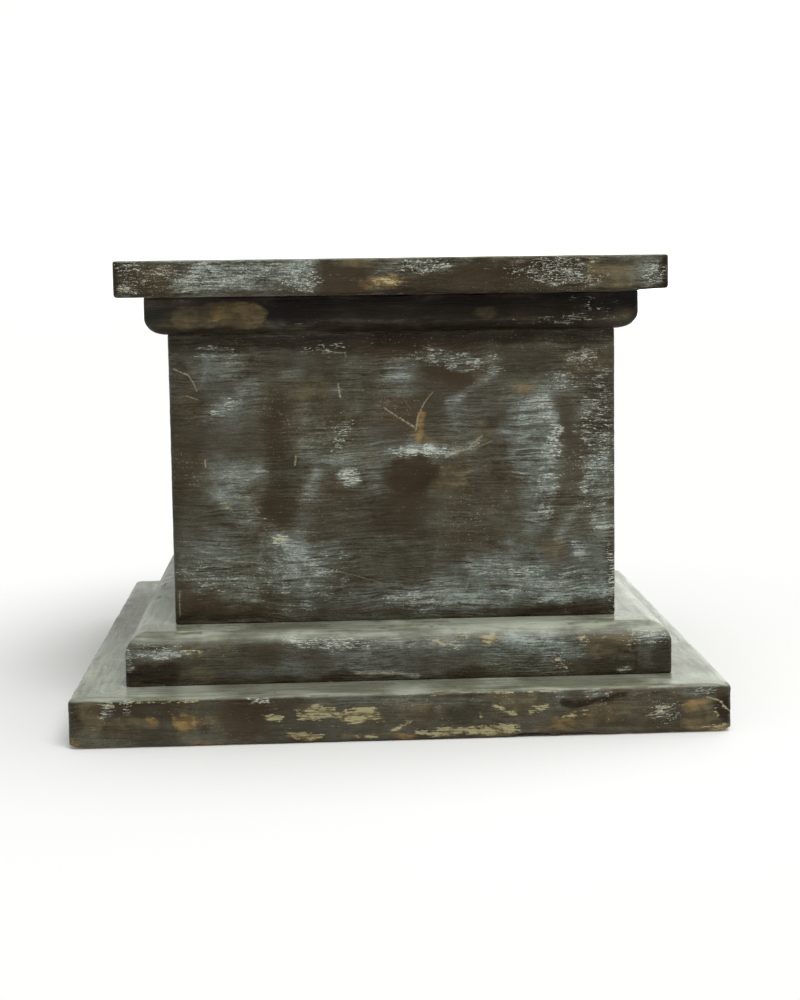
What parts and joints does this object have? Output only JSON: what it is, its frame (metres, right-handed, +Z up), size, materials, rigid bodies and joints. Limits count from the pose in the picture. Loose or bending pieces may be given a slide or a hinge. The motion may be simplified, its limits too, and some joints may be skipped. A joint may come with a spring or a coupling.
{
  "type": "sculpture base",
  "caption": "Square stepped wooden pedestal for a sculpture: wide plinth board, lower moulding, plain block, upper moulding and flat top board, in worn dark paint.",
  "frame": {"origin": "centre of the plinth board's underside, which is the lowest face", "axes": "+Z up through the tiers to the top board, -Y towards the front face seen in the picture, +X to the right of someone who looks at that face"},
  "size_m": [0.35, 0.35, 0.2535],
  "materials": {
    "painted_wood_plinth": "satin distressed paint, dark brown with ochre and cream wear",
    "painted_wood_lower": "satin distressed paint, grey-brown with pale grey-green wear",
    "painted_wood_die": "satin distressed paint, olive-brown with pale blue-grey rubbed patches",
    "painted_wood_upper": "satin distressed paint, near-black brown with tan wear",
    "painted_wood_top": "satin distressed paint, grey-brown with pale blue-grey and ochre wear"
  },
  "bodies": {
    "root": {"plinth_board": "painted_wood_plinth", "lower_moulding": "painted_wood_lower", "die": "painted_wood_die", "upper_moulding": "painted_wood_upper", "top_board": "painted_wood_top"}
  },
  "joints": []
}
